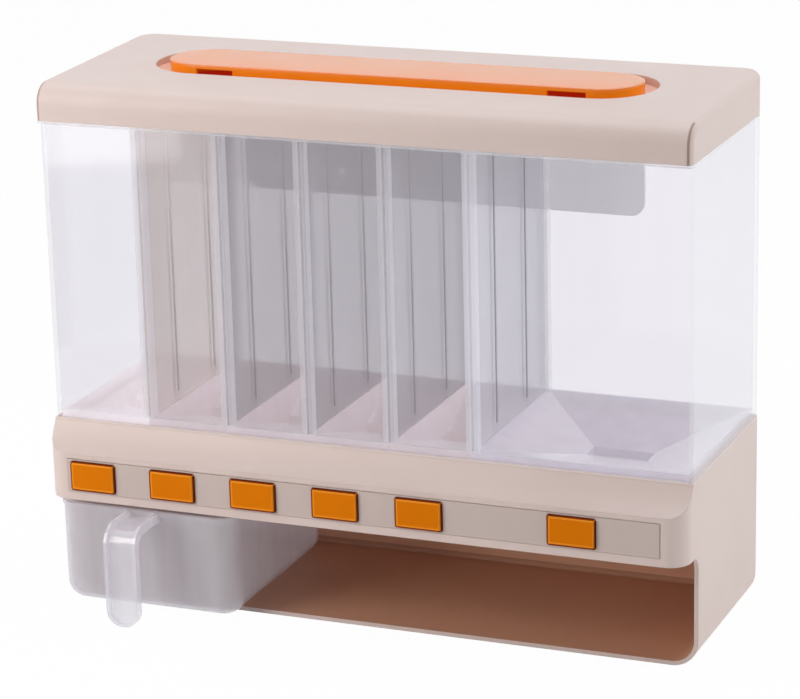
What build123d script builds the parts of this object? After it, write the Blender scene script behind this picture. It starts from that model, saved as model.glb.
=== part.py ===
from build123d import *
import os
from math import radians, tan

# Six-compartment dry food dispenser: a clear box with five dividers and a lift-off lid stands on an
# open-fronted base. Six push buttons slide shutters under the hopper outlets, over a scoop cup.
# Millimetres, X across the front, Y to the back, Z up.
# The origin is on the underside, at the middle of the clear box's footprint.

# Clear box
BODY_WIDTH = 380.0
BODY_DEPTH = 127.0
CLEAR_HEIGHT = 174.0
CLEAR_WALL = 2.5
CLEAR_CORNER = 2.5
RIM_THICKNESS = 1.6
RIM_INSET = 0.3
NECK_HEIGHT = 8.0
NECK_WALL = 2.0

# Base housing
BASE_HEIGHT = 109.5
BASE_WALL = 2.4
BASE_FLARE = 0.6
BOTTOM_RADIUS = 15.0
REAR_CORNER = 4.0
BAY_SETBACK = 10.4
BAY_CURVE = 9.0
BAND_PROUD = 14.5
BAND_CORNER = 12.5
BAND_LAND = 0.5
BAND_TOP_DROP = 15.9
BAND_BOTTOM_DROP = 43.6
COVE_SAG = 1.6
LIP_HEIGHT = 1.2
LEDGE = 2.4

# Dividers and the rails that hold them
DIVIDER_COUNT = 5
FIRST_DIVIDER = 58.0
DIVIDER_PITCH = 49.0
DIVIDER_THICKNESS = 2.0
DIVIDER_FIT = 0.3
RAIL_WIDTH = 2.0
RAIL_REACH = 5.5
PLATE_RIB_SPREAD = 49.0
PLATE_RIB_WIDTH = 1.4
PLATE_RIB_HEIGHT = 0.5
PLATE_RIB_FOOT = 6.0

# Hoppers and their outlets
RIDGE_HEIGHT = 4.0
HOPPER_SEAT = 4.0
HOPPER_RIM = 1.6
HOPPER_SKIN = 2.0
HOPPER_FIT = 0.3
THROAT_DROP = 12.0
COLLAR_DROP = 22.0
OUTLET_WIDTH = 36.0
OUTLET_LENGTH = 14.0
OUTLET_SETBACK = 63.0

# Buttons and the trim strip round them
BUTTON_WIDTH = 27.2
BUTTON_HEIGHT = 16.8
BUTTON_DEPTH = 20.0
BUTTON_PROUD = 2.8
BUTTON_DROP = 28.9
BUTTON_GAP = 0.5
BUTTON_SKIN = 1.8
BUTTON_CORNER = 1.2
BUTTON_EDGE = 0.8
STOP_REACH = 1.4
STOP_THICKNESS = 1.5
FIRST_BUTTON = 29.75
BUTTON_PITCH = 49.75
LAST_BUTTON = 63.0
STRIP_SETIN = 13.5
STRIP_HEIGHT = 19.4
STRIP_THICKNESS = 1.6
STRIP_PROUD = 0.4
STRIP_GAP = 0.3

# Shutters, the tray that guides them, and the return springs
SHUTTER_THICKNESS = 2.0
SHUTTER_WIDTH = 40.0
SHUTTER_MARGIN = 3.0
SHUTTER_NECK = 39.0
SHUTTER_WEB = 1.5
SLIDE_GAP = 0.3
TRAY_PLATE = 2.0
TRAY_SEAT = 6.0
TRAY_REAR_GAP = 2.0
TRAY_SHELF = 3.0
TRAY_WINDOW_MARGIN = 1.0
GUIDE_HEIGHT = 2.0
GUIDE_WIDTH = 1.6
SPRING_STOP = 32.0
SPRING_OUTER = 8.0
SPRING_WIRE = 1.0
SPRING_DROP = 1.0

# Lid
LID_FRONT_HEIGHT = 21.0
LID_REAR_HEIGHT = 24.4
LID_WALL = 2.2
LID_OVERHANG_SIDE = 0.4
LID_OVERHANG_FRONT = 3.9
LID_OVERHANG_REAR = 6.4
LID_ROLL = 12.0
LID_REAR_CORNER = 12.0
LID_EDGE = 4.0
LID_FIT = 0.5
LID_RIB_COUNT = 4
LID_RIB_PITCH = 95.0
LID_RIB_WIDTH = 2.0
LID_RIB_HEIGHT = 7.0
LID_RIB_LIFT = 1.6

# Recess in the lid, and its grip
RECESS_SETIN = 42.0
RECESS_WIDTH = 60.0
RECESS_DEPTH = 8.0
RECESS_SETBACK = 41.5
GRIP_END_GAP = 8.0
GRIP_WIDTH = 46.0
GRIP_HEIGHT = 12.4
GRIP_WALL = 2.2
GRIP_EDGE = 0.8
NOTCH_WIDTH = 22.0
NOTCH_OFFSET = 104.0

# Scoop cup
CUP_WIDTH = 113.0
CUP_REAR_GAP = 8.6
CUP_WALL = 1.8
CUP_PROUD = 14.0
CUP_CORNER = 13.0
CUP_BOTTOM_RADIUS = 11.2
CUP_SIDE_GAP = 1.0
CUP_FLOOR_GAP = 0.3
CUP_TOP_GAP = 2.6
CUP_RIM_REACH = 1.0
CUP_RIM_HEIGHT = 2.0
HANDLE_SETIN = 57.0
HANDLE_WIDTH = 19.6
HANDLE_REACH = 31.5
HANDLE_BEND = 12.0
HANDLE_DROP = 58.5
HANDLE_WEB = 1.8
HANDLE_FLANGE = 3.6
HANDLE_FLANGE_WALL = 1.8
HANDLE_END = 9.0

# Wall bracket
BRACKET_WIDTH = 245.0
BRACKET_HEIGHT = 57.0
BRACKET_THICKNESS = 2.6
BRACKET_CORNER = 8.0
BRACKET_DROP = 5.3
SCREW_SPACING_X = 126.0
SCREW_SPACING_Z = 30.0
SCREW_HOLE = 4.5

# Places worked out from the sizes above
FRONT = -BODY_DEPTH / 2
REAR = BODY_DEPTH / 2
HALF = BODY_WIDTH / 2
SEAM = BASE_HEIGHT
LID_SEAT = SEAM + CLEAR_HEIGHT
CELL_HALF = HALF - CLEAR_WALL
CELL_FRONT = FRONT + CLEAR_WALL
CELL_REAR = REAR - CLEAR_WALL
NECK_SIDE = HALF + LID_OVERHANG_SIDE - LID_WALL - LID_FIT
NECK_REAR = REAR + NECK_SIDE - HALF
NECK_TOP = LID_SEAT + NECK_HEIGHT
BASE_HALF = HALF + BASE_FLARE
BAY_HALF = BASE_HALF - BASE_WALL
BAY_FLOOR = BASE_WALL
BAY_REAR = REAR - BASE_WALL
BAY_FRONT = FRONT + BAY_SETBACK
BAND_FRONT = FRONT - BAND_PROUD
BAND_TOP = SEAM - BAND_TOP_DROP
BAND_BOTTOM = SEAM - BAND_BOTTOM_DROP
LEDGE_TOP = SEAM - HOPPER_SEAT
RIDGE = SEAM + RIDGE_HEIGHT
OUTLET_Y = FRONT + OUTLET_SETBACK + OUTLET_LENGTH / 2
COLLAR_FOOT = SEAM - COLLAR_DROP
SHUTTER_TOP = COLLAR_FOOT - SLIDE_GAP
SHUTTER_FOOT = SHUTTER_TOP - SHUTTER_THICKNESS
TRAVEL = OUTLET_LENGTH + SHUTTER_WEB
TRAY_TOP = SHUTTER_FOOT - SLIDE_GAP
TRAY_FOOT = TRAY_TOP - TRAY_PLATE
TRAY_FLOOR = BAND_BOTTOM + BASE_WALL
TRAY_STOP = FRONT + SPRING_STOP
TRAY_REAR = BAY_REAR - TRAY_REAR_GAP
BUTTON_Z = SEAM - BUTTON_DROP
BUTTON_FRONT = BAND_FRONT - BUTTON_PROUD
BUTTON_INSIDE = BUTTON_FRONT + BUTTON_SKIN
STRIP_WIDTH = BODY_WIDTH - 2 * STRIP_SETIN
RECESS_Y = FRONT + RECESS_SETBACK + RECESS_WIDTH / 2
RECESS_FLOOR = LID_SEAT + LID_FRONT_HEIGHT - RECESS_DEPTH
RECESS_LENGTH = BODY_WIDTH - 2 * RECESS_SETIN
GRIP_LENGTH = RECESS_LENGTH - 2 * GRIP_END_GAP
CUP_FRONT = FRONT - CUP_PROUD
CUP_DEPTH = BAY_REAR - CUP_REAR_GAP - CUP_FRONT
DIVIDER_X = [-HALF + FIRST_DIVIDER + DIVIDER_PITCH * i for i in range(DIVIDER_COUNT)]
BUTTON_X = [-HALF + FIRST_BUTTON + BUTTON_PITCH * i for i in range(DIVIDER_COUNT)] + [HALF - LAST_BUTTON]
CELL_EDGES = [-CELL_HALF] + DIVIDER_X + [CELL_HALF]

# Where an upright meets a 45-degree face, the corner slides this far along the upright per unit of inset
CORNER_SLIDE = tan(radians(22.5))


def save(block, name):
    """Labels a finished piece and writes its file."""
    block.part.label = name
    export_step(block.part, f"parts/{name}.step")


def facing_front(y):
    """A sketch plane at depth y, read as seen from the front."""
    return Plane.XZ.offset(-y)


def base_form(inset):
    """The base's outer form, or its hollow when inset by the wall: side, front and top outlines crossed."""
    half = BASE_HALF - inset
    front = BAND_FRONT + inset
    ahead = front - BAND_CORNER
    cove = front + BAND_LAND
    neck = FRONT + inset
    rear = REAR - inset
    under = BAND_BOTTOM + inset
    curve_end = BAY_FRONT - BAY_CURVE + inset
    foot = BAY_FRONT if inset == 0 else curve_end
    shelf = BAND_TOP - inset * CORNER_SLIDE
    lip = SEAM - LIP_HEIGHT - inset * CORNER_SLIDE
    with BuildPart() as form:
        with BuildSketch(Plane.YZ):
            with BuildLine():
                # The hollow passes in front of the side walls' curve, and so it opens the bay
                if foot == curve_end:
                    Line((foot, inset), (foot, under))
                else:
                    Line((foot, inset), (foot, under - BAY_CURVE))
                    RadiusArc((foot, under - BAY_CURVE), (curve_end, under), -BAY_CURVE)
                Polyline((curve_end, under), (ahead, under), (ahead, shelf), (cove, shelf))
                SagittaArc((cove, shelf), (neck, lip), -COVE_SAG)
                Polyline((neck, lip), (neck, SEAM), (rear, SEAM), (rear, inset), (foot, inset))
            make_face()
        extrude(amount=BODY_WIDTH, both=True)
        with BuildSketch(Plane.XY):
            with BuildLine():
                FilletPolyline((-half, rear), (-half, front), (half, front), (half, rear),
                               radius=BAND_CORNER - inset)
                Line((half, rear), (-half, rear))
            make_face()
        extrude(amount=SEAM, mode=Mode.INTERSECT)
        with BuildSketch(Plane.XZ):
            with BuildLine():
                FilletPolyline((-half, SEAM), (-half, inset), (half, inset), (half, SEAM),
                               radius=BOTTOM_RADIUS - inset)
                Line((half, SEAM), (-half, SEAM))
            make_face()
        extrude(amount=BODY_DEPTH, both=True, mode=Mode.INTERSECT)
        fillet(form.edges().filter_by(Axis.Z).group_by(Axis.Y)[-1], radius=REAR_CORNER - inset)
    return form.part


def button_windows(mode=Mode.ADD):
    """The six windows that the buttons slide through, drawn in the sketch that is open."""
    with Locations([(x, BUTTON_Z) for x in BUTTON_X]):
        RectangleRounded(BUTTON_WIDTH + 2 * BUTTON_GAP, BUTTON_HEIGHT + 2 * BUTTON_GAP,
                         BUTTON_CORNER + BUTTON_GAP, mode=mode)


def make_base():
    """Base housing: bay walls and floor, the coved button band, and the ledges that carry the rest."""
    outside = base_form(0)
    inside = base_form(BASE_WALL)
    with BuildPart() as cavity:
        add(inside)
        with BuildSketch(Plane.XY.offset(LEDGE_TOP - LEDGE)):
            Rectangle(2 * BODY_WIDTH, 2 * BODY_DEPTH)
        extrude(amount=SEAM, mode=Mode.SUBTRACT)
    with BuildPart() as base:
        add(outside)
        add(cavity.part, mode=Mode.SUBTRACT)
        with BuildSketch(Plane.XY.offset(LEDGE_TOP - LEDGE)):
            Rectangle(2 * (CELL_HALF - LEDGE), CELL_REAR - CELL_FRONT - 2 * LEDGE)
        extrude(amount=HOPPER_SEAT + LEDGE, mode=Mode.SUBTRACT)
        with BuildSketch(Plane.XY.offset(LEDGE_TOP)):
            Rectangle(2 * CELL_HALF, CELL_REAR - CELL_FRONT)
        extrude(amount=HOPPER_SEAT, mode=Mode.SUBTRACT)
        # Windows through the band's front, and the shallow pocket of the trim strip
        with BuildSketch(facing_front(BAND_FRONT)):
            button_windows()
        extrude(amount=-2 * BASE_WALL, mode=Mode.SUBTRACT)
        with BuildSketch(facing_front(BAND_FRONT)):
            with Locations((0, BUTTON_Z)):
                Rectangle(STRIP_WIDTH + 2 * STRIP_GAP, STRIP_HEIGHT + 2 * STRIP_GAP)
        extrude(amount=-(STRIP_THICKNESS - STRIP_PROUD), mode=Mode.SUBTRACT)
        # Shelves under the tray's ends, run half a wall into the sides and the back
        sunk = BASE_WALL / 2
        shelf_front = TRAY_STOP + TRAY_PLATE
        with Locations([(side * (BAY_HALF + (sunk - TRAY_SHELF) / 2), (shelf_front + BAY_REAR + sunk) / 2,
                         TRAY_FOOT - BASE_WALL / 2) for side in (-1, 1)]):
            Box(TRAY_SHELF + sunk, BAY_REAR + sunk - shelf_front, BASE_WALL)
    return base


def make_strip():
    """Flat trim strip let into the button band, with a window round each button."""
    with BuildPart() as strip:
        with BuildSketch(facing_front(BAND_FRONT - STRIP_PROUD)):
            with Locations((0, BUTTON_Z)):
                Rectangle(STRIP_WIDTH, STRIP_HEIGHT)
            button_windows(mode=Mode.SUBTRACT)
        extrude(amount=-STRIP_THICKNESS)
    return strip


def make_tray():
    """Tray under the hoppers: it guides the shutters, opens to the bay and stops the return springs."""
    seat = BAY_FRONT - BAY_CURVE + BASE_WALL - TRAY_SEAT
    stop_back = TRAY_STOP + TRAY_PLATE
    with BuildPart() as tray:
        with BuildSketch(Plane.YZ):
            with BuildLine():
                Polyline((seat, TRAY_FLOOR), (stop_back, TRAY_FLOOR), (stop_back, TRAY_FOOT),
                         (TRAY_REAR, TRAY_FOOT), (TRAY_REAR, TRAY_TOP), (TRAY_STOP, TRAY_TOP),
                         (TRAY_STOP, TRAY_FLOOR + TRAY_PLATE), (seat, TRAY_FLOOR + TRAY_PLATE), close=True)
            make_face()
        extrude(amount=BAY_HALF - SLIDE_GAP, both=True)
        # A rib at each side of each shutter
        guide_x = SHUTTER_WIDTH / 2 + SLIDE_GAP + GUIDE_WIDTH / 2
        with BuildSketch(Plane.XY.offset(TRAY_TOP)):
            with Locations([(x + side * guide_x, (TRAY_STOP + TRAY_REAR) / 2)
                            for x in BUTTON_X for side in (-1, 1)]):
                Rectangle(GUIDE_WIDTH, TRAY_REAR - TRAY_STOP)
        extrude(amount=GUIDE_HEIGHT)
        with BuildSketch(Plane.XY.offset(TRAY_TOP)):
            with Locations([(x, OUTLET_Y) for x in BUTTON_X]):
                Rectangle(OUTLET_WIDTH + 2 * TRAY_WINDOW_MARGIN, OUTLET_LENGTH + 2 * TRAY_WINDOW_MARGIN)
        extrude(amount=-TRAY_PLATE, mode=Mode.SUBTRACT)
    return tray


def around(centre, size):
    """The two ends of a length set about a centre."""
    return centre - size / 2, centre + size / 2


def funnel(top, foot):
    """Flat-sided funnel between two level rectangles, each given as its height and its ends along x and y."""
    top_z, top_x, top_y = top
    foot_z, foot_x, foot_y = foot
    with BuildPart() as block:
        with BuildSketch(Plane.XZ):
            with BuildLine():
                Polyline((top_x[0], top_z), (foot_x[0], foot_z), (foot_x[1], foot_z), (top_x[1], top_z),
                         close=True)
            make_face()
        extrude(amount=BODY_DEPTH, both=True)
        with BuildSketch(Plane.YZ):
            with BuildLine():
                Polyline((top_y[0], top_z), (foot_y[0], foot_z), (foot_y[1], foot_z), (top_y[1], top_z),
                         close=True)
            make_face()
        extrude(amount=BODY_WIDTH, both=True, mode=Mode.INTERSECT)
    return block.part


def make_hopper(index):
    """Funnel floor of one compartment, with a collar down to its shutter."""
    left = CELL_EDGES[index] + (HOPPER_FIT if index == 0 else HOPPER_FIT / 2)
    right = CELL_EDGES[index + 1] - (HOPPER_FIT if index == DIVIDER_COUNT else HOPPER_FIT / 2)
    width = right - left
    depth = CELL_REAR - CELL_FRONT - 2 * HOPPER_FIT
    centre_x = (left + right) / 2
    centre_y = (CELL_FRONT + CELL_REAR) / 2
    outlet_x = BUTTON_X[index]
    throat = SEAM - THROAT_DROP
    skin = funnel((LEDGE_TOP, around(centre_x, width - 2 * LEDGE), around(centre_y, depth - 2 * LEDGE)),
                  (throat - HOPPER_SKIN, around(outlet_x, OUTLET_WIDTH + 2 * HOPPER_SKIN),
                   around(OUTLET_Y, OUTLET_LENGTH + 2 * HOPPER_SKIN)))
    hollow = funnel((RIDGE, around(centre_x, width - 2 * HOPPER_RIM), around(centre_y, depth - 2 * HOPPER_RIM)),
                    (throat, around(outlet_x, OUTLET_WIDTH), around(OUTLET_Y, OUTLET_LENGTH)))
    with BuildPart() as hopper:
        with BuildSketch(Plane.XY.offset(LEDGE_TOP)):
            with Locations((centre_x, centre_y)):
                Rectangle(width, depth)
        extrude(amount=RIDGE - LEDGE_TOP)
        add(skin)
        with BuildSketch(Plane.XY.offset(COLLAR_FOOT)):
            with Locations((outlet_x, OUTLET_Y)):
                Rectangle(OUTLET_WIDTH + 2 * HOPPER_SKIN, OUTLET_LENGTH + 2 * HOPPER_SKIN)
        extrude(amount=throat - COLLAR_FOOT)
        # The funnel's inside, then the outlet down through the collar
        add(hollow, mode=Mode.SUBTRACT)
        with BuildSketch(Plane.XY.offset(COLLAR_FOOT)):
            with Locations((outlet_x, OUTLET_Y)):
                Rectangle(OUTLET_WIDTH, OUTLET_LENGTH)
        extrude(amount=throat - COLLAR_FOOT, mode=Mode.SUBTRACT)
    return hopper


def make_container():
    """Clear box: four walls, a rim under the lid, a neck inside it, and the divider rails."""
    rim_front = FRONT - LID_OVERHANG_FRONT + RIM_INSET
    rim_rear = REAR + LID_OVERHANG_REAR - RIM_INSET
    rail_x = DIVIDER_THICKNESS / 2 + DIVIDER_FIT + RAIL_WIDTH / 2
    rail_y = CELL_REAR - RAIL_REACH / 2
    with BuildPart() as container:
        with BuildSketch(Plane.XY.offset(SEAM)):
            RectangleRounded(BODY_WIDTH, BODY_DEPTH, CLEAR_CORNER)
        extrude(amount=CLEAR_HEIGHT)
        with BuildSketch(Plane.XY.offset(LID_SEAT - RIM_THICKNESS)) as rim:
            with Locations((0, (rim_front + rim_rear) / 2)):
                Rectangle(BODY_WIDTH, rim_rear - rim_front)
            fillet(rim.vertices().group_by(Axis.Y)[0], radius=CLEAR_CORNER)
            fillet(rim.vertices().group_by(Axis.Y)[-1], radius=LID_REAR_CORNER)
        extrude(amount=RIM_THICKNESS)
        with BuildSketch(Plane.XY.offset(LID_SEAT)):
            RectangleRounded(2 * NECK_SIDE, 2 * NECK_REAR, CLEAR_CORNER)
        extrude(amount=NECK_HEIGHT)
        with BuildSketch(Plane.XY.offset(SEAM)):
            Rectangle(2 * CELL_HALF, CELL_REAR - CELL_FRONT)
        extrude(amount=CLEAR_HEIGHT - RIM_THICKNESS, mode=Mode.SUBTRACT)
        with BuildSketch(Plane.XY.offset(LID_SEAT - RIM_THICKNESS)):
            Rectangle(2 * (NECK_SIDE - NECK_WALL), 2 * (NECK_REAR - NECK_WALL))
        extrude(amount=RIM_THICKNESS + NECK_HEIGHT, mode=Mode.SUBTRACT)
        # Two rails at the front and two at the back of each divider
        with BuildSketch(Plane.XY.offset(RIDGE)):
            with Locations([(x + i * rail_x, j * rail_y) for x in DIVIDER_X for i in (-1, 1) for j in (-1, 1)]):
                Rectangle(RAIL_WIDTH, RAIL_REACH)
        extrude(amount=NECK_TOP - RIDGE)
    return container


def make_divider(x):
    """Lift-out divider plate, held between rails, with two low ribs on each face."""
    depth = 2 * (NECK_REAR - NECK_WALL - DIVIDER_FIT)
    height = NECK_TOP - DIVIDER_FIT - RIDGE
    with BuildPart() as divider:
        with BuildSketch(Plane.XY.offset(RIDGE)):
            with Locations((x, 0)):
                Rectangle(DIVIDER_THICKNESS, depth)
        extrude(amount=height)
        with BuildSketch(Plane.XY.offset(RIDGE + PLATE_RIB_FOOT)):
            with Locations([(x, -PLATE_RIB_SPREAD / 2), (x, PLATE_RIB_SPREAD / 2)]):
                Rectangle(DIVIDER_THICKNESS + 2 * PLATE_RIB_HEIGHT, PLATE_RIB_WIDTH)
        extrude(amount=height - PLATE_RIB_FOOT)
    return divider


def make_button(x):
    """Hollow push button, open at the back, with a rim behind the band that stops it coming out."""
    with BuildPart() as button:
        with BuildSketch(facing_front(BUTTON_FRONT)):
            with Locations((x, BUTTON_Z)):
                RectangleRounded(BUTTON_WIDTH, BUTTON_HEIGHT, BUTTON_CORNER)
        extrude(amount=-BUTTON_DEPTH)
        chamfer(button.faces().sort_by(Axis.Y)[0].edges(), length=BUTTON_EDGE)
        with BuildSketch(facing_front(BAND_FRONT + BASE_WALL + SLIDE_GAP)):
            with Locations((x, BUTTON_Z)):
                Rectangle(BUTTON_WIDTH + 2 * STOP_REACH, BUTTON_HEIGHT + 2 * STOP_REACH)
        extrude(amount=-STOP_THICKNESS)
        with BuildSketch(facing_front(BUTTON_INSIDE)):
            with Locations((x, BUTTON_Z)):
                Rectangle(BUTTON_WIDTH - 2 * BUTTON_SKIN, BUTTON_HEIGHT - 2 * BUTTON_SKIN)
        extrude(amount=-BUTTON_DEPTH, mode=Mode.SUBTRACT)
    return button


def make_shutter(x):
    """Shutter plate behind a button: closed under the outlet at rest, with its window in front of it."""
    shoulder = BUTTON_INSIDE + SHUTTER_NECK
    rear = OUTLET_Y + OUTLET_LENGTH / 2 + SHUTTER_MARGIN
    with BuildPart() as shutter:
        with BuildSketch(Plane.XY.offset(SHUTTER_FOOT)):
            with Locations((x, (shoulder + rear) / 2)):
                Rectangle(SHUTTER_WIDTH, rear - shoulder)
            with Locations((x, (BUTTON_INSIDE + shoulder) / 2)):
                Rectangle(BUTTON_WIDTH - 2 * BUTTON_SKIN - 2 * SLIDE_GAP, SHUTTER_NECK)
            with Locations((x, OUTLET_Y - TRAVEL)):
                Rectangle(OUTLET_WIDTH, OUTLET_LENGTH, mode=Mode.SUBTRACT)
        extrude(amount=SHUTTER_THICKNESS)
    return shutter


def make_spring(x):
    """Return spring of a button, drawn as the sleeve that its coils fill, from the cap to the tray's stop."""
    centre_z = SHUTTER_FOOT - SPRING_DROP - SPRING_OUTER / 2
    with BuildPart() as spring:
        with BuildSketch(facing_front(BUTTON_INSIDE)):
            with Locations((x, centre_z)):
                Circle(SPRING_OUTER / 2)
                Circle(SPRING_OUTER / 2 - SPRING_WIRE, mode=Mode.SUBTRACT)
        extrude(amount=-(TRAY_STOP - BUTTON_INSIDE))
    return spring


def lid_form(inset):
    """The lid's outer form, or its hollow when inset: a rolled front and a top that rises to the back."""
    front = FRONT - LID_OVERHANG_FRONT + inset
    rear = REAR + LID_OVERHANG_REAR - inset
    low = LID_SEAT + LID_FRONT_HEIGHT - inset
    high = LID_SEAT + LID_REAR_HEIGHT - inset
    roll = LID_ROLL - inset
    with BuildPart() as form:
        with BuildSketch(Plane.YZ):
            with BuildLine():
                Line((front, LID_SEAT), (front, low - roll))
                RadiusArc((front, low - roll), (front + roll, low), roll)
                Polyline((front + roll, low), (rear, high), (rear, LID_SEAT), (front, LID_SEAT))
            make_face()
        extrude(amount=HALF + LID_OVERHANG_SIDE - inset, both=True)
        fillet(form.edges().filter_by(Axis.Z).group_by(Axis.Y)[-1], radius=LID_REAR_CORNER - inset)
        top = form.faces().filter_by(GeomType.PLANE).sort_by(Axis.Z)[-1]
        sides = top.edges().filter_by(GeomType.LINE).filter_by(Axis.X, reverse=True)
        fillet(sides, radius=LID_EDGE - inset)
    return form.part


def make_lid():
    """Lift-off lid: rolled front, hollow inside, a stadium recess on top and ribs that locate it."""
    outside = lid_form(0)
    inside = lid_form(LID_WALL)
    with BuildPart() as hollow:
        add(inside)
        with BuildSketch(Plane.XY.offset(RECESS_FLOOR - LID_WALL)):
            with Locations((0, RECESS_Y)):
                SlotOverall(RECESS_LENGTH + 2 * LID_WALL, RECESS_WIDTH + 2 * LID_WALL)
        extrude(amount=LID_REAR_HEIGHT, mode=Mode.SUBTRACT)
    with BuildPart() as lid:
        add(outside)
        add(hollow.part, mode=Mode.SUBTRACT)
        with BuildSketch(Plane.XY.offset(RECESS_FLOOR)):
            with Locations((0, RECESS_Y)):
                SlotOverall(RECESS_LENGTH, RECESS_WIDTH)
        extrude(amount=LID_REAR_HEIGHT, mode=Mode.SUBTRACT)
        # Ribs inside the front and back walls stand just off the neck
        spans = ((FRONT - LID_OVERHANG_FRONT + LID_WALL, -NECK_REAR - LID_FIT),
                 (NECK_REAR + LID_FIT, REAR + LID_OVERHANG_REAR - LID_WALL))
        rib_x = [LID_RIB_PITCH * (i - (LID_RIB_COUNT - 1) / 2) for i in range(LID_RIB_COUNT)]
        for near, far in spans:
            with BuildSketch(Plane.XY.offset(LID_SEAT + LID_RIB_LIFT)):
                with Locations([(x, (near + far) / 2) for x in rib_x]):
                    Rectangle(LID_RIB_WIDTH, far - near)
            extrude(amount=LID_RIB_HEIGHT)
    return lid


def make_grip():
    """Stadium grip standing in the lid's recess, hollow below, with two notches in its front wall."""
    with BuildPart() as grip:
        with BuildSketch(Plane.XY.offset(RECESS_FLOOR)):
            with Locations((0, RECESS_Y)):
                SlotOverall(GRIP_LENGTH, GRIP_WIDTH)
        extrude(amount=GRIP_HEIGHT)
        fillet(grip.faces().sort_by(Axis.Z)[-1].edges(), radius=GRIP_EDGE)
        with BuildSketch(Plane.XY.offset(RECESS_FLOOR)):
            with Locations((0, RECESS_Y)):
                SlotOverall(GRIP_LENGTH - 2 * GRIP_WALL, GRIP_WIDTH - 2 * GRIP_WALL)
            with Locations([(side * NOTCH_OFFSET, RECESS_Y - GRIP_WIDTH / 2) for side in (-1, 1)]):
                Rectangle(NOTCH_WIDTH, 3 * GRIP_WALL)
        extrude(amount=GRIP_HEIGHT - GRIP_WALL, mode=Mode.SUBTRACT)
    return grip


def handle_band(width, end_radius, shallow, deep, back):
    """A strip of the cup's handle between two depths under its outer face, with a rounded lower end."""
    top = BAND_BOTTOM - CUP_TOP_GAP
    face = CUP_FRONT - HANDLE_REACH
    foot = top - HANDLE_DROP + HANDLE_WIDTH / 2 - width / 2
    turn_y = face + HANDLE_BEND
    turn_z = top - HANDLE_BEND
    with BuildPart() as band:
        with BuildSketch(Plane.YZ.offset(-BAY_HALF + CUP_SIDE_GAP + HANDLE_SETIN)):
            with BuildLine():
                Line((back, top - shallow), (turn_y, top - shallow))
                RadiusArc((turn_y, top - shallow), (face + shallow, turn_z), shallow - HANDLE_BEND)
                Polyline((face + shallow, turn_z), (face + shallow, foot), (face + deep, foot),
                         (face + deep, turn_z))
                RadiusArc((face + deep, turn_z), (turn_y, top - deep), HANDLE_BEND - deep)
                Polyline((turn_y, top - deep), (back, top - deep), (back, top - shallow))
            make_face()
        extrude(amount=width / 2, both=True)
        fillet(band.edges().filter_by(Axis.Y).group_by(Axis.Z)[0], radius=end_radius)
    return band.part


def make_cup():
    """Scoop cup: a round-bottomed tub with a lip and a hooked handle of channel section."""
    centre_x = -BAY_HALF + CUP_SIDE_GAP + CUP_WIDTH / 2
    centre_y = CUP_FRONT + CUP_DEPTH / 2
    foot = BAY_FLOOR + CUP_FLOOR_GAP
    rim = BAND_BOTTOM - CUP_TOP_GAP
    tub_width = CUP_WIDTH - 2 * CUP_RIM_REACH
    tub_depth = CUP_DEPTH - 2 * CUP_RIM_REACH
    handle = handle_band(HANDLE_WIDTH, HANDLE_END, 0, HANDLE_WEB + HANDLE_FLANGE, CUP_FRONT + CUP_RIM_REACH)
    channel = handle_band(HANDLE_WIDTH - 2 * HANDLE_FLANGE_WALL, HANDLE_END - HANDLE_FLANGE_WALL,
                          -HANDLE_WEB, HANDLE_FLANGE, CUP_FRONT)
    with BuildPart() as cup:
        with BuildSketch(Plane.XY.offset(foot)):
            with Locations((centre_x, centre_y)):
                RectangleRounded(tub_width, tub_depth, CUP_CORNER)
        extrude(amount=rim - foot)
        fillet(cup.faces().sort_by(Axis.Z)[0].edges(), radius=CUP_BOTTOM_RADIUS)
        offset(amount=-CUP_WALL, openings=cup.faces().sort_by(Axis.Z)[-1])
        with BuildSketch(Plane.XY.offset(rim - CUP_RIM_HEIGHT)):
            with Locations((centre_x, centre_y)):
                RectangleRounded(CUP_WIDTH, CUP_DEPTH, CUP_CORNER + CUP_RIM_REACH)
                RectangleRounded(tub_width - 2 * CUP_WALL, tub_depth - 2 * CUP_WALL,
                                 CUP_CORNER - CUP_WALL, mode=Mode.SUBTRACT)
        extrude(amount=CUP_RIM_HEIGHT)
        add(handle)
        add(channel, mode=Mode.SUBTRACT)
    return cup


def make_bracket():
    """Wall bracket: a flat plate behind the clear box, with four screw holes."""
    top = LID_SEAT - RIM_THICKNESS - BRACKET_DROP
    with BuildPart() as bracket:
        with BuildSketch(facing_front(REAR)):
            with Locations((0, top - BRACKET_HEIGHT / 2)):
                RectangleRounded(BRACKET_WIDTH, BRACKET_HEIGHT, BRACKET_CORNER)
                with GridLocations(SCREW_SPACING_X, SCREW_SPACING_Z, 2, 2):
                    Circle(SCREW_HOLE / 2, mode=Mode.SUBTRACT)
        extrude(amount=-BRACKET_THICKNESS)
    return bracket


os.makedirs("parts", exist_ok=True)
save(make_base(), "base_housing")
save(make_strip(), "button_strip")
save(make_tray(), "slide_tray")
save(make_container(), "container")
save(make_lid(), "lid")
save(make_grip(), "lid_grip")
save(make_cup(), "scoop_cup")
save(make_bracket(), "wall_bracket")
for number, x in enumerate(DIVIDER_X, start=1):
    save(make_divider(x), f"divider_{number}")
for number, x in enumerate(BUTTON_X, start=1):
    save(make_hopper(number - 1), f"hopper_{number}")
    save(make_button(x), f"button_{number}")
    save(make_shutter(x), f"shutter_{number}")
    save(make_spring(x), f"spring_{number}")
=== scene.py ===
import math

import bmesh
import bpy
from mathutils import Matrix, Vector


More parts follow.
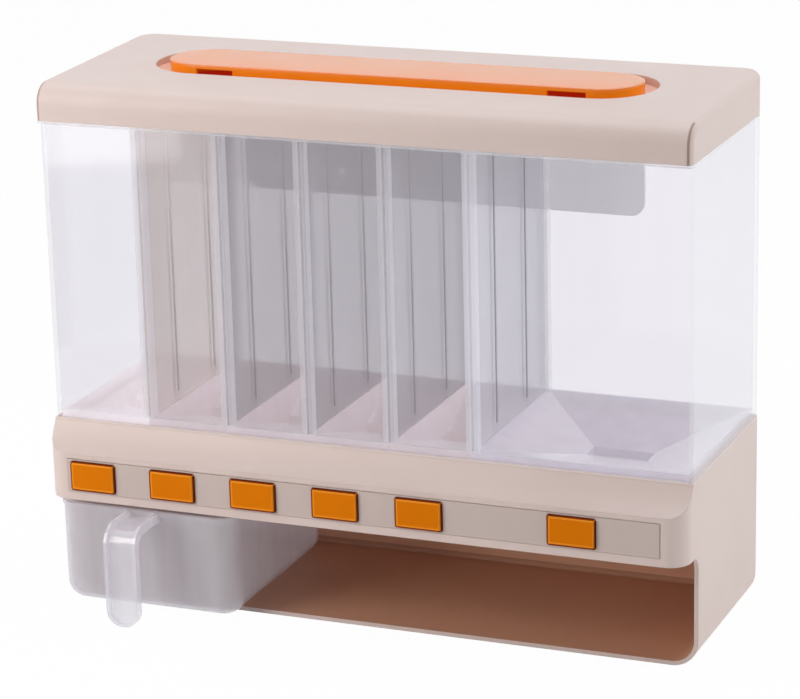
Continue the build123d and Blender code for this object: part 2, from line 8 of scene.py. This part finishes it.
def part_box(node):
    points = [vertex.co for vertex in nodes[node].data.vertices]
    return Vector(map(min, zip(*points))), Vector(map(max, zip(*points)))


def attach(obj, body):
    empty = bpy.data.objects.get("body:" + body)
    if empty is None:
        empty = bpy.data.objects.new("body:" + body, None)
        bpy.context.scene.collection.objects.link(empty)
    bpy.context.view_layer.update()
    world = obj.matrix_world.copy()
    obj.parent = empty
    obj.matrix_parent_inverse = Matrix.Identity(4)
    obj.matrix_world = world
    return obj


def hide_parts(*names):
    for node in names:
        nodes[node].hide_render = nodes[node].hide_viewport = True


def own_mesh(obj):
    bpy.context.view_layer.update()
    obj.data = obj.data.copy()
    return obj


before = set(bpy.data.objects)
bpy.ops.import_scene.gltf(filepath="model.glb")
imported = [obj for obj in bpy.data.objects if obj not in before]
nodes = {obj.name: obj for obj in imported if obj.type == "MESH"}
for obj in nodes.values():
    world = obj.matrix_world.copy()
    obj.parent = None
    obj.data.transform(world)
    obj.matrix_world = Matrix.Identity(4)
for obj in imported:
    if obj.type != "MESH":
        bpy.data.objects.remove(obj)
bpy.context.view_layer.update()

scene = bpy.context.scene


# Colours, scales and nodes

def ink(code):
    """An sRGB hex colour as linear RGBA."""
    parts = [int(code[i:i + 2], 16) / 255 for i in (1, 3, 5)]
    return [c / 12.92 if c <= 0.04045 else ((c + 0.055) / 1.055) ** 2.4 for c in parts] + [1.0]


def per_metre(millimetres):
    """The texture scale whose features are about this many millimetres across."""
    return 1000.0 / millimetres


def put(tree, kind, inputs=None, **settings):
    """Adds a node: settings are its own options, and inputs are values or sockets to link."""
    node = tree.nodes.new(kind)
    for name, value in settings.items():
        setattr(node, name, value)
    for name, value in (inputs or {}).items():
        if isinstance(value, bpy.types.NodeSocket):
            tree.links.new(value, node.inputs[name])
        else:
            node.inputs[name].default_value = value
    return node


def blank(name):
    """A material with an empty node tree."""
    material = bpy.data.materials.new(name)
    material.use_nodes = True
    material.node_tree.nodes.clear()
    return material, material.node_tree


# Finishes

# In metres: how far the painted shade of a seam reaches over the skin beside it, and what the mould leaves: how
# round an edge is and how deep the grain
GAP_SHADE_REACH = 0.0014
EDGE_RADIUS = 0.0005
GRAIN_DEPTH = 0.00005
# How much handling turns the roughness either way
HANDLING = 0.05


def moulded_abs(name, main, shade, roughness, grain, gloss=0.3, coat=0.0, gap_shade="#9A857A", painted_zones=()):
    """ABS from a spark-eroded mould: an even satin face, faintly clouded where the melt met, softened edges, and
    painted brown shade in its seams. Each zone gets a colour painted on for the light or shade that falls there,
    and a painted glow for light that reaches it through the walls."""
    material, tree = blank(name)
    place = put(tree, "ShaderNodeTexCoord").outputs["Object"]
    # Melt clouds about 70 mm across turn the colour by a shade or two
    clouds = put(tree, "ShaderNodeTexNoise", {"Vector": place, "Scale": per_metre(70), "Detail": 2.0})
    # The mould's own grain is near 0.15 mm; it is drawn at 0.9 mm, because the camera would lose it
    pits = put(tree, "ShaderNodeTexNoise", {"Vector": place, "Scale": per_metre(0.9), "Detail": 3.0,
                                            "Roughness": 0.6})
    # Handling leaves patches about 25 mm across where the satin is a little shinier
    rubbed = put(tree, "ShaderNodeTexNoise", {"Vector": place, "Scale": per_metre(25), "Detail": 4.0})
    colour = put(tree, "ShaderNodeMix", {"Factor": clouds.outputs["Fac"], "A": ink(main), "B": ink(shade)},
                 data_type="RGBA").outputs["Result"]
    # Painted shade: seams and gaps about a millimetre wide are coloured brown by the occlusion node, for the
    # little light that gets in after meeting warm walls
    open_sky = put(tree, "ShaderNodeAmbientOcclusion", {"Distance": GAP_SHADE_REACH}, samples=8).outputs["AO"]
    clear_of_gap = put(tree, "ShaderNodeMapRange", {"Value": open_sky, "From Min": 0.2, "From Max": 0.6})
    colour = put(tree, "ShaderNodeMix", {"Factor": clear_of_gap.outputs["Result"], "A": ink(gap_shade), "B": colour},
                 data_type="RGBA").outputs["Result"]
    painted_light_strength = 0.0
    # Each zone paints on light or shade: a colour of its own, and a glow given as emission
    for zone, painted_colour, painted_glow in painted_zones:
        mask = zone(tree, place)
        colour = put(tree, "ShaderNodeMix", {"Factor": mask, "A": colour, "B": ink(painted_colour)},
                     data_type="RGBA").outputs["Result"]
        if painted_glow:
            painted_light_strength = put(tree, "ShaderNodeMath", {0: mask, 1: painted_glow, 2: painted_light_strength},
                        operation="MULTIPLY_ADD").outputs["Value"]
    sheen = put(tree, "ShaderNodeMapRange", {"Value": rubbed.outputs["Fac"], "From Min": 0.3, "From Max": 0.7,
                                             "To Min": roughness - HANDLING,
                                             "To Max": roughness + HANDLING})
    soft = put(tree, "ShaderNodeBevel", {"Radius": EDGE_RADIUS}, samples=6)
    relief = put(tree, "ShaderNodeBump", {"Strength": grain, "Distance": GRAIN_DEPTH,
                                          "Height": pits.outputs["Fac"], "Normal": soft.outputs["Normal"]})
    body = put(tree, "ShaderNodeBsdfPrincipled", {
        "Base Color": colour, "Roughness": sheen.outputs["Result"], "IOR": 1.53, "Specular IOR Level": gloss,
        "Coat Weight": coat, "Coat Roughness": 0.08, "Emission Color": colour, "Emission Strength": painted_light_strength,
        "Normal": relief.outputs["Normal"]})
    put(tree, "ShaderNodeOutputMaterial", {"Surface": body.outputs["BSDF"]})
    return material


def clear_plastic(name, through, edge_on, milk_colour, face_milk, edge_milk, streak, thick=(), painted_shade=None,
                  gleam=(0.04, 0.6), polish=0.06, painted_glow=0.0):
    """Polystyrene or polypropylene from a polished mould: it lets sight through, greys as the sheet turns
    edge-on, and carries a faint milk that runs in flow streaks away from the gate. Each thick zone has its
    own milk, and the dark zone lays painted shade over what is seen through it. Gleam is how much the sheet
    mirrors straight on and edge-on. The painted glow is an emission that stands in for the light that runs inside
    the sheet and comes out where it is milky."""
    material, tree = blank(name)
    place = put(tree, "ShaderNodeTexCoord").outputs["Object"]
    lean = put(tree, "ShaderNodeLayerWeight", {"Blend": 0.5}).outputs["Facing"]
    seen_through = put(tree, "ShaderNodeMix", {"Factor": lean, "A": ink(through), "B": ink(edge_on)},
                       data_type="RGBA").outputs["Result"]
    # Flow streaks stand upright: about 12 mm wide and ten times as long
    along = put(tree, "ShaderNodeMapping", {"Vector": place, "Scale": (1.0, 1.0, 0.1)})
    flow = put(tree, "ShaderNodeTexNoise", {"Vector": along.outputs["Vector"], "Scale": per_metre(12),
                                            "Detail": 3.0})
    milk = put(tree, "ShaderNodeMapRange", {"Value": lean, "To Min": face_milk, "To Max": edge_milk})
    streaks = put(tree, "ShaderNodeMapRange", {"Value": flow.outputs["Fac"], "From Min": 0.3, "From Max": 0.7,
                                               "To Min": 1.0 - streak, "To Max": 1.0 + streak})
    share = put(tree, "ShaderNodeMath", {0: milk.outputs["Result"], 1: streaks.outputs["Result"]},
                operation="MULTIPLY", use_clamp=True).outputs["Value"]
    for zone, zone_milk in thick:
        laid = put(tree, "ShaderNodeMath", {0: zone(tree, place), 1: zone_milk}, operation="MULTIPLY")
        share = put(tree, "ShaderNodeMath", {0: share, 1: laid.outputs["Value"]},
                    operation="MAXIMUM").outputs["Value"]
    if painted_shade:
        zone, shadow = painted_shade
        seen_through = put(tree, "ShaderNodeMix", {"Factor": zone(tree, place), "A": seen_through,
                                                   "B": ink(shadow)}, data_type="RGBA").outputs["Result"]
    ripple = put(tree, "ShaderNodeBump", {"Strength": 0.05, "Distance": 0.0002, "Height": flow.outputs["Fac"]})
    glass = put(tree, "ShaderNodeBsdfTransparent", {"Color": seen_through})
    body = put(tree, "ShaderNodeBsdfPrincipled", {
        "Base Color": ink(milk_colour), "Roughness": 0.25, "IOR": 1.55, "Normal": ripple.outputs["Normal"],
        "Emission Color": ink(milk_colour), "Emission Strength": 2.0 * painted_glow})
    lit_through = put(tree, "ShaderNodeBsdfTranslucent", {"Color": ink(milk_colour)})
    milky = put(tree, "ShaderNodeMixShader", {0: 0.5, 1: body.outputs["BSDF"], 2: lit_through.outputs["BSDF"]})
    sheet = put(tree, "ShaderNodeMixShader", {0: share, 1: glass.outputs["BSDF"], 2: milky.outputs["Shader"]})
    shine = put(tree, "ShaderNodeBsdfAnisotropic", {"Color": ink("#FFFFFF"), "Roughness": polish,
                                                    "Normal": ripple.outputs["Normal"]})
    # Both faces of a sheet mirror alike: a few per cent straight on, rising fast past 70 degrees
    steep = put(tree, "ShaderNodeMath", {0: lean, 1: 4.0}, operation="POWER")
    mirror = put(tree, "ShaderNodeMapRange", {"Value": steep.outputs["Value"], "To Min": gleam[0],
                                              "To Max": gleam[1]})
    whole = put(tree, "ShaderNodeMixShader", {0: mirror.outputs["Result"], 1: sheet.outputs["Shader"],
                                              2: shine.outputs["BSDF"]})
    put(tree, "ShaderNodeOutputMaterial", {"Surface": whole.outputs["Shader"]})
    return material


def drawn_steel(name):
    """Spring steel wire, drawn and oiled: fine scratches run round the wire."""
    material, tree = blank(name)
    place = put(tree, "ShaderNodeTexCoord").outputs["Object"]
    # Drawing leaves scratches near 0.05 mm; they are drawn at 0.5 mm, which still shows on the wire
    lines = put(tree, "ShaderNodeTexNoise", {"Vector": place, "Scale": per_metre(0.5), "Detail": 2.0})
    rub = put(tree, "ShaderNodeMapRange", {"Value": lines.outputs["Fac"], "To Min": 0.25, "To Max": 0.45})
    body = put(tree, "ShaderNodeBsdfPrincipled", {
        "Base Color": ink("#B9BCC0"), "Metallic": 1.0, "Roughness": rub.outputs["Result"]})
    put(tree, "ShaderNodeOutputMaterial", {"Surface": body.outputs["BSDF"]})
    return material


# Zones: stretches of a piece that get a finish of their own, or painted light or shade. A zone takes a tree and
# the place on the object, and gives 1 inside and 0 outside. All their sizes are in metres.

def boxes(*bounds):
    """The zone inside any of these boxes; each gives the axes that bound it, as centre and half."""
    def zone(tree, place):
        spot = put(tree, "ShaderNodeSeparateXYZ", {"Vector": place}).outputs
        found = 0.0
        for box in bounds:
            held = 1.0
            for axis, (centre, half) in box.items():
                near = put(tree, "ShaderNodeMath", {0: spot[axis], 1: centre, 2: half}, operation="COMPARE")
                held = put(tree, "ShaderNodeMath", {0: held, 1: near.outputs["Value"]},
                           operation="MULTIPLY").outputs["Value"]
            found = put(tree, "ShaderNodeMath", {0: found, 1: held}, operation="MAXIMUM").outputs["Value"]
        return found
    return zone


# The faces of the bay behind the side walls' front edge, painted a warm brown for the light bounced between its
# walls, and its floor, painted darker for the shade on it
BAY = {"X": (0.0, 0.1887), "Y": (0.0043, 0.0573)}
bay_inside_painted_bounce = boxes({**BAY, "Z": (0.0425, 0.0405)})
bay_floor_painted_shade = boxes({**BAY, "Z": (0.0035, 0.0025)})

# The housing's top edge under the clear box, painted lighter with a painted glow for the light that reaches it
# through the box's wall
top_rim_painted_light = boxes({"Z": (0.1115, 0.0024)})

# The rails that stand off the clear box's walls, and not the walls themselves
divider_rails = boxes({"X": (0.0, 0.15), "Y": (0.0, 0.0609)})

# The top of the clear box, where sight runs along the thick of the rim
rim_and_neck = boxes({"Z": (0.2916, 0.01)})

# The fine step where the lid's rolled front meets its end walls, painted darker for the shade in it
lid_step_painted_shade = boxes(*[{"X": (end * 0.1882, 0.0006), "Y": (-0.062, 0.0056)} for end in (-1, 1)])

# The floor and wall of the lid's recess round the grip, painted lighter with a painted glow for the light they
# catch from above
GRIP_MIDDLE_Y = 0.008
RECESS_FLOOR = 0.2965
grip_recess_painted_light = boxes({"X": (0.0, 0.1650), "Y": (GRIP_MIDDLE_Y, 0.0400), "Z": (0.2992, 0.0032)})
recess_floor = boxes({"Z": (RECESS_FLOOR, 0.0005)})

# The hollow inside the grip is a slot: half the length of its straight run, and the radius of its ends
SLOT_STRAIGHT = 0.1176
SLOT_RADIUS = 0.0224

# The buttons' centres across the front, and half of a button's face each way
BUTTON_CENTRES = (-0.16025, -0.1105, -0.06075, -0.011, 0.03875, 0.127)
BUTTON_HEIGHT = 0.0806
HALF_BUTTON = (0.0136, 0.0084)
# The camera sees more of a button's right and top sides, so its painted border is narrower there
BORDER_SHIFT = 0.0005

# The groove round the trim strip, on its own sides and on the housing's, painted lighter with a painted glow as a
# painted highlight over its shade
strip_groove_painted_light = boxes({"X": (0.0, 0.1772), "Y": (-0.0775, 0.0007), "Z": (BUTTON_HEIGHT, 0.0102)})

# The two low ribs down each divider, and the last divider, whose ribs stand clear of the bracket
divider_ribs = boxes(*[{"Y": (side * 0.0245, 0.0008)} for side in (-1, 1)])
last_divider = boxes({"X": (0.064, 0.01)})


def under_grip_painted_glow(tree, place):
    """The floor of the lid's recess inside the hollow grip, seen only through the grip's two notches, painted dark
    red with a painted glow for the light that comes through the orange grip.
    """
    inner = put(tree, "ShaderNodeVectorMath", {0: place, 1: (SLOT_STRAIGHT, GRIP_MIDDLE_Y, RECESS_FLOOR)},
                operation="MINIMUM")
    nearest = put(tree, "ShaderNodeVectorMath", {0: inner.outputs["Vector"],
                                                 1: (-SLOT_STRAIGHT, GRIP_MIDDLE_Y, RECESS_FLOOR)},
                  operation="MAXIMUM")
    reach = put(tree, "ShaderNodeVectorMath", {0: place, 1: nearest.outputs["Vector"]}, operation="DISTANCE")
    in_slot = put(tree, "ShaderNodeMath", {0: reach.outputs["Value"], 1: SLOT_RADIUS}, operation="LESS_THAN")
    return put(tree, "ShaderNodeMath", {0: in_slot.outputs["Value"], 1: recess_floor(tree, place)},
               operation="MULTIPLY").outputs["Value"]


def grip_front_painted_glare_fade(tree, place):
    """The grip's front edge and the strip of its top beside it, painted a deeper orange where the painted glare of
    the backdrop fades.
    """
    depth = put(tree, "ShaderNodeSeparateXYZ", {"Vector": place}).outputs["Y"]
    return put(tree, "ShaderNodeMapRange", {"Value": depth, "From Min": -0.022, "From Max": 0.014,
                                            "To Min": 1.0, "To Max": 0.0}).outputs["Result"]


def grip_rim_painted_light(tree, place):
    """The grip's sides, painted brighter with a painted glow for what the recess throws back."""
    height = put(tree, "ShaderNodeSeparateXYZ", {"Vector": place}).outputs["Z"]
    return put(tree, "ShaderNodeMath", {0: height, 1: 0.3081}, operation="LESS_THAN").outputs["Value"]


def rib_painted_shade(tree, place):
    """The dividers' ribs, painted dark as the shade of their sides, which turn the light away: the painted shade
    is faint high up, where they stand before the bracket, but for the last divider's."""
    height = put(tree, "ShaderNodeSeparateXYZ", {"Vector": place}).outputs["Z"]
    fade = put(tree, "ShaderNodeMapRange", {"Value": height, "From Min": 0.19, "From Max": 0.25,
                                            "To Min": 0.8, "To Max": 0.15})
    depth = put(tree, "ShaderNodeMath", {0: fade.outputs["Result"], 1: last_divider(tree, place)},
                operation="MAXIMUM")
    return put(tree, "ShaderNodeMath", {0: depth.outputs["Value"], 1: divider_ribs(tree, place)},
               operation="MULTIPLY").outputs["Value"]


def button_border(width):
    """The zone of every button's border, this wide, and of the buttons' sides."""
    faces = boxes(*[{"X": (centre + BORDER_SHIFT, HALF_BUTTON[0] - width),
                     "Z": (BUTTON_HEIGHT + BORDER_SHIFT, HALF_BUTTON[1] - width)} for centre in BUTTON_CENTRES])

    def zone(tree, place):
        return put(tree, "ShaderNodeMath", {0: 1.0, 1: faces(tree, place)},
                   operation="SUBTRACT").outputs["Value"]
    return zone


# Painted highlight where a button's face rounds off and catches more light, and painted shade on the outermost
# line, where the bevel turns down into the gap and goes dark
button_bevel_painted_highlight = button_border(0.0016)
button_gap_painted_shade = button_border(0.0007)


# Sand ABS with a spark-eroded skin reads as an even warm satin. The housing and the lid have zones of painted
# light and shade
SAND = {"main": "#DFCEC8", "shade": "#D9C6BF", "roughness": 0.44, "grain": 0.25, "gloss": 0.42}
sand_abs = moulded_abs("sand_abs_spark_eroded", **SAND)
housing_abs = moulded_abs("sand_abs_base_housing", **SAND, painted_zones=[
    (bay_inside_painted_bounce, "#F2C0A0", 0.0), (bay_floor_painted_shade, "#CC9C80", 0.0), (top_rim_painted_light, "#E4D6D0", 0.12),
    (strip_groove_painted_light, "#D0BEB6", 0.08)])
lid_abs = moulded_abs("sand_abs_lid", **SAND, painted_zones=[
    (grip_recess_painted_light, "#EDDCD4", 0.2), (under_grip_painted_glow, "#A01808", 0.3), (lid_step_painted_shade, "#A88F83", 0.0)])

# The trim is a shade darker and finer grained than the housing
strip_abs = moulded_abs("sand_abs_trim_fine_satin", main="#CFC0B9", shade="#C8B8B1", roughness=0.4, grain=0.15,
                        painted_zones=[(strip_groove_painted_light, "#D0BEB6", 0.08)])

# The buttons are a dry satin with hardly any gloss; the grip is polished, and its top throws back the backdrop,
# which its pale main colour also carries as a painted reflection
orange_abs = moulded_abs("orange_abs_satin", main="#E68000", shade="#DE7600", roughness=0.4, grain=0.12,
                         gloss=0.04, gap_shade="#5A2400",
                         painted_zones=[(button_bevel_painted_highlight, "#F0942A", 0.0), (button_gap_painted_shade, "#8A3400", 0.03)])
grip_abs = moulded_abs("orange_abs_polished", main="#E89050", shade="#E28848", roughness=0.22, grain=0.06,
                       gloss=0.25, coat=0.36, gap_shade="#8A3C00",
                       painted_zones=[(grip_front_painted_glare_fade, "#F27C00", 0.0), (grip_rim_painted_light, "#EE8200", 0.09)])
# The shutters slide, so they are acetal: white and slightly waxy
white_acetal = moulded_abs("white_acetal_slides", main="#ECEAE6", shade="#E5E2DD", roughness=0.35, grain=0.1)

# The box is crystal clear but for its rails and its rim, and carries a painted glow
clear_box = clear_plastic("clear_styrene_box", through="#FCFBFD", edge_on="#F8F9FB", milk_colour="#F6F6F8",
                          face_milk=0.02, edge_milk=0.16, streak=0.1,
                          thick=((divider_rails, 0.5), (rim_and_neck, 0.3)), painted_glow=0.14)

# The dividers are greyer. The end plates are copies painted lighter, with more painted glow, for the light they
# catch: the first, warmer, from the left, and the last through the wide compartment
PLATE = {"face_milk": 0.12, "edge_milk": 0.45, "streak": 0.04}
clear_plate = clear_plastic("clear_styrene_divider", through="#F3F2F3", edge_on="#CFCED0",
                            milk_colour="#E8E6E8", painted_shade=(rib_painted_shade, "#84858A"), painted_glow=0.02, **PLATE)
first_plate_painted_light = clear_plastic("clear_styrene_first_divider_painted_light", through="#F8F4F2", edge_on="#DAD4D0",
                            milk_colour="#F4ECEA", painted_shade=(rib_painted_shade, "#94928E"), painted_glow=0.1, **PLATE)
last_plate_painted_light = clear_plastic("clear_styrene_last_divider_painted_light", through="#F6F6F8", edge_on="#D8D8DC",
                           milk_colour="#F0F1F5", painted_shade=(rib_painted_shade, "#84868E"), painted_glow=0.11, **PLATE)

# The hoppers' polypropylene is milky and throws a broad soft shine. The end ones are copies painted for the light
# they catch: the first lighter with more glow, the wide one cooler
FUNNEL = {"face_milk": 0.75, "edge_milk": 0.95, "streak": 0.05, "gleam": (0.08, 1.2), "polish": 0.25}
first_funnel_painted_light = clear_plastic("milky_polypropylene_first_hopper_painted_light", through="#F6F4F6", edge_on="#ECE8EA",
                             milk_colour="#FAF6F8", painted_glow=0.27, **FUNNEL)
clear_funnel = clear_plastic("milky_polypropylene_hopper", through="#F2EEF0", edge_on="#E2DEE0",
                             milk_colour="#F2EAEC", painted_glow=0.165, **FUNNEL)
wide_funnel_painted_cool_light = clear_plastic("milky_polypropylene_wide_hopper_painted_cool_light", through="#F0EEF4", edge_on="#DEDCE8",
                            milk_colour="#EEEAF2", painted_glow=0.16, **FUNNEL)

# The cup is natural polypropylene, a light haze, and the bracket a dull grey one; both carry a painted glow, the
# bracket a strong one
clear_cup = clear_plastic("natural_polypropylene_cup", through="#FAFAFC", edge_on="#ECEAEE",
                          milk_colour="#F9F8FD", face_milk=0.38, edge_milk=0.46, streak=0.06, painted_glow=0.06)
grey_bracket = clear_plastic("grey_polypropylene_bracket", through="#E6E6E8", edge_on="#D2D2D4",
                             milk_colour="#E2E1E2", face_milk=0.5, edge_milk=0.85, streak=0.05, polish=0.3,
                             painted_glow=0.25)
steel = drawn_steel("drawn_steel_spring")

FINISH = {
    "base_housing": housing_abs, "lid": lid_abs, "button_strip": strip_abs, "lid_grip": grip_abs,
    "wall_bracket": grey_bracket, "slide_tray": sand_abs, "container": clear_box, "scoop_cup": clear_cup,
    "button": orange_abs, "shutter": white_acetal, "hopper": clear_funnel, "divider": clear_plate,
    "spring": steel, "hopper_6": wide_funnel_painted_cool_light, "hopper_1": first_funnel_painted_light,
    "divider_1": first_plate_painted_light, "divider_5": last_plate_painted_light,
}
for name, item in nodes.items():
    kind = name if name in FINISH else name.rsplit("_", 1)[0]
    item.data.materials.clear()
    item.data.materials.append(FINISH[kind])


# Return springs: the CAD draws each one as the sleeve that its coils fill, and here it is the coil

SPRING_WIRE = 0.0010
WIRE_SIDES = 8
STEPS_PER_TURN = 20
OPEN_TURNS = 11


def coil_spring(number):
    """A compression spring with one closed turn at each end, which sits between its button and the tray's stop; it
    is drawn at the sleeve's length and rides with the base.
    """
    node = f"spring_{number}"
    low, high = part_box(node)
    x, z = (low[0] + high[0]) / 2, (low[2] + high[2]) / 2
    length = high[1] - low[1]
    radius = (high[0] - low[0] - SPRING_WIRE) / 2
    closed_turns_and_wire = 3 * SPRING_WIRE
    open_pitch = (length - closed_turns_and_wire) / OPEN_TURNS
    wire = bmesh.new()
    bmesh.ops.create_circle(wire, cap_ends=True, segments=WIRE_SIDES, radius=SPRING_WIRE / 2,
                            matrix=Matrix.Translation((x + radius, low[1] + SPRING_WIRE / 2, z)))
    end = wire.verts[:] + wire.edges[:] + wire.faces[:]
    for turns, pitch in ((1, SPRING_WIRE), (OPEN_TURNS, open_pitch), (1, SPRING_WIRE)):
        end = bmesh.ops.spin(wire, geom=end, cent=(x, 0.0, z), axis=(0.0, 1.0, 0.0),
                             dvec=(0.0, pitch / STEPS_PER_TURN, 0.0), angle=2 * math.pi * turns,
                             steps=STEPS_PER_TURN * turns, use_merge=False)["geom_last"]
    bmesh.ops.recalc_face_normals(wire, faces=wire.faces)
    for face in wire.faces:
        face.smooth = True
    mesh = bpy.data.meshes.new(f"coil_{number}")
    wire.to_mesh(mesh)
    wire.free()
    coil = bpy.data.objects.new(f"coil_{number}", mesh)
    scene.collection.objects.link(coil)
    mesh.materials.append(steel)
    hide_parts(node)
    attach(coil, "base")
    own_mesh(coil)


for number in range(1, len(BUTTON_CENTRES) + 1):
    coil_spring(number)


# Floor, light and camera

FLOOR_HALF_WIDTH = 8.0
# How much of the floor's white is its own, to the camera and in reflections; the rest is lit and holds the shadow
FLOOR_OWN_WHITE = 0.98
# The world's strength for everything but the camera and reflections
FILL_STRENGTH = 0.18


def studio_floor():
    """A pale seamless floor: white to the camera, with a share of true shading left for the shadow."""
    mesh = bpy.data.meshes.new("studio_floor")
    sheet = bmesh.new()
    bmesh.ops.create_grid(sheet, x_segments=1, y_segments=1, size=FLOOR_HALF_WIDTH)
    sheet.to_mesh(mesh)
    sheet.free()
    floor = bpy.data.objects.new("studio_floor", mesh)
    scene.collection.objects.link(floor)
    material, tree = blank("matt_white_sweep")
    rays = put(tree, "ShaderNodeLightPath")
    seen = put(tree, "ShaderNodeMath", {0: rays.outputs["Is Camera Ray"], 1: rays.outputs["Is Glossy Ray"]},
               operation="MAXIMUM")
    share = put(tree, "ShaderNodeMath", {0: seen.outputs["Value"], 1: FLOOR_OWN_WHITE}, operation="MULTIPLY")
    matt = put(tree, "ShaderNodeBsdfDiffuse", {"Color": ink("#F2F2F2")})
    white = put(tree, "ShaderNodeEmission", {"Color": ink("#FFFFFF"), "Strength": 1.0})
    mixed = put(tree, "ShaderNodeMixShader", {0: share.outputs["Value"], 1: matt.outputs["BSDF"],
                                              2: white.outputs["Emission"]})
    put(tree, "ShaderNodeOutputMaterial", {"Surface": mixed.outputs["Shader"]})
    mesh.materials.append(material)


def studio_world():
    """White to the camera and in reflections, and a dimmer even fill for everything else."""
    world = bpy.data.worlds.new("studio_world")
    scene.world = world
    world.use_nodes = True
    tree = world.node_tree
    tree.nodes.clear()
    rays = put(tree, "ShaderNodeLightPath")
    dim = put(tree, "ShaderNodeBackground", {"Color": ink("#FFFFFF"), "Strength": FILL_STRENGTH})
    white = put(tree, "ShaderNodeBackground", {"Color": ink("#FFFFFF"), "Strength": 1.0})
    seen = put(tree, "ShaderNodeMath", {0: rays.outputs["Is Camera Ray"], 1: rays.outputs["Is Glossy Ray"]},
               operation="MAXIMUM")
    mixed = put(tree, "ShaderNodeMixShader", {0: seen.outputs["Value"], 1: dim.outputs["Background"],
                                              2: white.outputs["Background"]})
    put(tree, "ShaderNodeOutputWorld", {"Surface": mixed.outputs["Shader"]})


def softbox(name, place, target, width, height, power, tint, mirrored=True):
    """A rectangular soft light aimed at a point; one that isn't mirrored leaves no glare."""
    data = bpy.data.lights.new(name, "AREA")
    data.color = ink(tint)[:3]
    data.shape = "RECTANGLE"
    data.size = width
    data.size_y = height
    data.energy = power
    lamp = bpy.data.objects.new(name, data)
    lamp.visible_glossy = mirrored
    lamp.location = place
    lamp.rotation_euler = (Vector(target) - Vector(place)).to_track_quat("-Z", "Y").to_euler()
    scene.collection.objects.link(lamp)


studio_floor()
studio_world()
softbox("overhead_softbox", place=(-0.1, 0.2, 1.9), target=(0.0, 0.0, 0.2), width=1.8, height=1.4, power=18.3,
        tint="#F6FAFF")
softbox("left_softbox", place=(-0.8, -0.85, 0.65), target=(-0.1, 0.0, 0.15), width=0.6, height=0.8, power=7.4,
        tint="#FFF9F5")
softbox("right_softbox", place=(1.9, 0.3, 0.9), target=(0.0, 0.0, 0.15), width=0.9, height=1.2, power=17.5,
        tint="#FFFFFF", mirrored=False)
softbox("front_softbox", place=(-0.72, -0.85, 0.18), target=(-0.25, 0.0, 0.06), width=0.4, height=0.3, power=0.75,
        tint="#FFF9F5")

# The camera was fitted to the box's corners in the photograph: it stands in front, right of the middle
# and above, with its optical axis a little right of and below the frame's middle
FRAME_WIDTH, FRAME_HEIGHT = 800, 699
FOCAL_PIXELS = 3131.5
AXIS_PIXEL = (464.83, 383.23)
EYE = Vector((0.64810, -1.57039, 0.65971))
RIGHT = Vector((0.93375193, 0.35747229, -0.01791331))
UP = Vector((-0.09086816, 0.28517030, 0.95415977))
BACK = RIGHT.cross(UP)

camera_data = bpy.data.cameras.new("camera")
camera_data.sensor_fit = "HORIZONTAL"
camera_data.sensor_width = 36.0
camera_data.lens = FOCAL_PIXELS / FRAME_WIDTH * camera_data.sensor_width
camera_data.shift_x = (FRAME_WIDTH / 2 - AXIS_PIXEL[0]) / FRAME_WIDTH
camera_data.shift_y = (AXIS_PIXEL[1] - FRAME_HEIGHT / 2) / FRAME_WIDTH
camera = bpy.data.objects.new("camera", camera_data)
camera.matrix_world = Matrix((
    (RIGHT.x, UP.x, BACK.x, EYE.x),
    (RIGHT.y, UP.y, BACK.y, EYE.y),
    (RIGHT.z, UP.z, BACK.z, EYE.z),
    (0.0, 0.0, 0.0, 1.0)))
scene.collection.objects.link(camera)
scene.camera = camera

scene.view_settings.view_transform = "Standard"
# A line of sight along the row of dividers passes many clear faces
scene.cycles.transparent_max_bounces = 48
scene.cycles.max_bounces = 16
